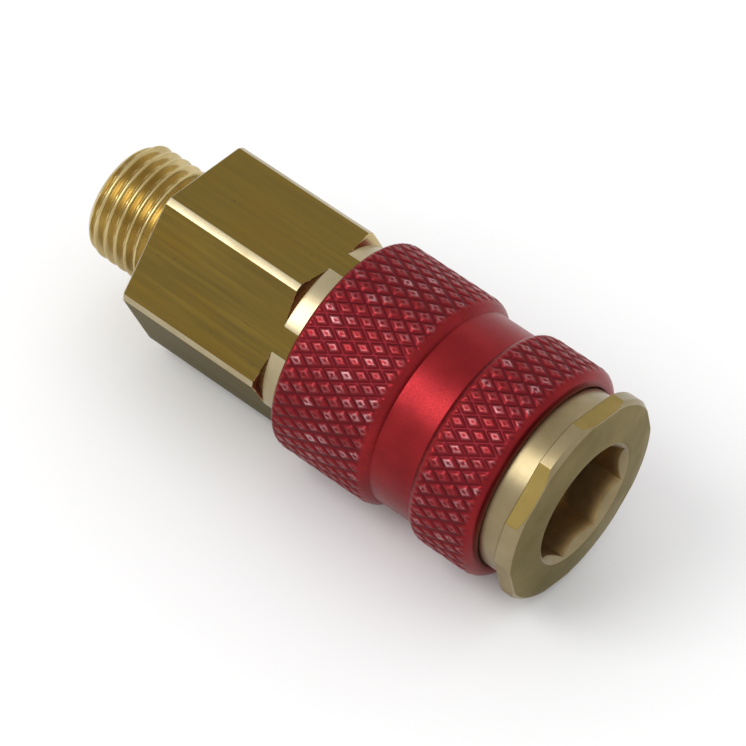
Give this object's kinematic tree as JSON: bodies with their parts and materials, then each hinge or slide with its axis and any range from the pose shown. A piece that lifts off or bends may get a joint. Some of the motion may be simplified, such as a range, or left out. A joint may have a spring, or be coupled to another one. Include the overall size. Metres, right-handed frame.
{
  "type": "quick disconnect coupler",
  "caption": "Quick disconnect air coupler: male threaded hexagon inlet, sprung knurled sleeve, locking balls, self-closing valve and an eight-sided keyed mouth.",
  "frame": {"origin": "centre of the shoulder behind the inlet thread, on the coupler's axis", "axes": "+X along the axis, from the inlet thread towards the mouth; +Z out of one hexagon flat"},
  "size_m": [0.0605, 0.0242, 0.0242],
  "materials": {
    "brass": "drawn bar with faint lengthwise streaks, slightly tarnished",
    "pale_brass": "turned, satin, pale",
    "red_anodised": "red anodised, diamond knurled with worn crests, satin waist",
    "spring_steel": "drawn wire",
    "ball_steel": "polished",
    "seal_rubber": "matt",
    "gasket_fibre": "pressed fibre"
  },
  "bodies": {
    "coupler_body": {"inlet_adapter": "brass", "socket_body": "pale_brass", "key_ring": "pale_brass", "spring_washer": "spring_steel", "sleeve_spring": "spring_steel", "valve_guide": "brass", "valve_spring": "spring_steel", "plug_oring": "seal_rubber", "body_gasket": "gasket_fibre"},
    "thrust_ring": {"thrust_ring": "spring_steel"},
    "sleeve": {"sleeve": "red_anodised"},
    "valve": {"valve_head": "brass", "valve_nose": "pale_brass", "valve_seal": "seal_rubber"},
    "ball_1": {"locking_ball_1": "ball_steel"},
    "ball_2": {"locking_ball_2": "ball_steel"},
    "ball_3": {"locking_ball_3": "ball_steel"},
    "ball_4": {"locking_ball_4": "ball_steel"},
    "ball_5": {"locking_ball_5": "ball_steel"},
    "ball_6": {"locking_ball_6": "ball_steel"}
  },
  "joints": [
    {"name": "sleeve_slide", "type": "slide", "parent": "coupler_body", "child": "thrust_ring", "axis": [-1, 0, 0], "range_m": [0, 0.0022], "stiffness_N_per_m": 2500, "springref_m": -0.004, "deforming": ["sleeve_spring"]},
    {"name": "sleeve_spin", "type": "hinge", "parent": "thrust_ring", "child": "sleeve", "pos_m": [0.03, 0, 0], "axis": [1, 0, 0], "continuous": true},
    {"name": "valve_slide", "type": "slide", "parent": "coupler_body", "child": "valve", "axis": [-1, 0, 0], "range_m": [0, 0.004], "stiffness_N_per_m": 700, "springref_m": -0.004, "deforming": ["valve_spring"]},
    {"name": "ball_slide_1", "type": "slide", "parent": "coupler_body", "child": "ball_1", "axis": [0, 0, 1], "range_m": [0, 0.0007]},
    {"name": "ball_slide_2", "type": "slide", "parent": "coupler_body", "child": "ball_2", "axis": [0, -0.866, 0.5], "range_m": [0, 0.0007]},
    {"name": "ball_slide_3", "type": "slide", "parent": "coupler_body", "child": "ball_3", "axis": [0, -0.866, -0.5], "range_m": [0, 0.0007]},
    {"name": "ball_slide_4", "type": "slide", "parent": "coupler_body", "child": "ball_4", "axis": [0, 0, -1], "range_m": [0, 0.0007]},
    {"name": "ball_slide_5", "type": "slide", "parent": "coupler_body", "child": "ball_5", "axis": [0, 0.866, -0.5], "range_m": [0, 0.0007]},
    {"name": "ball_slide_6", "type": "slide", "parent": "coupler_body", "child": "ball_6", "axis": [0, 0.866, 0.5], "range_m": [0, 0.0007]}
  ],
  "couplings": [
    {"joint": "ball_slide_1", "follows": "sleeve_slide", "ratio": 0.3},
    {"joint": "ball_slide_2", "follows": "sleeve_slide", "ratio": 0.3},
    {"joint": "ball_slide_3", "follows": "sleeve_slide", "ratio": 0.3},
    {"joint": "ball_slide_4", "follows": "sleeve_slide", "ratio": 0.3},
    {"joint": "ball_slide_5", "follows": "sleeve_slide", "ratio": 0.3},
    {"joint": "ball_slide_6", "follows": "sleeve_slide", "ratio": 0.3}
  ]
}
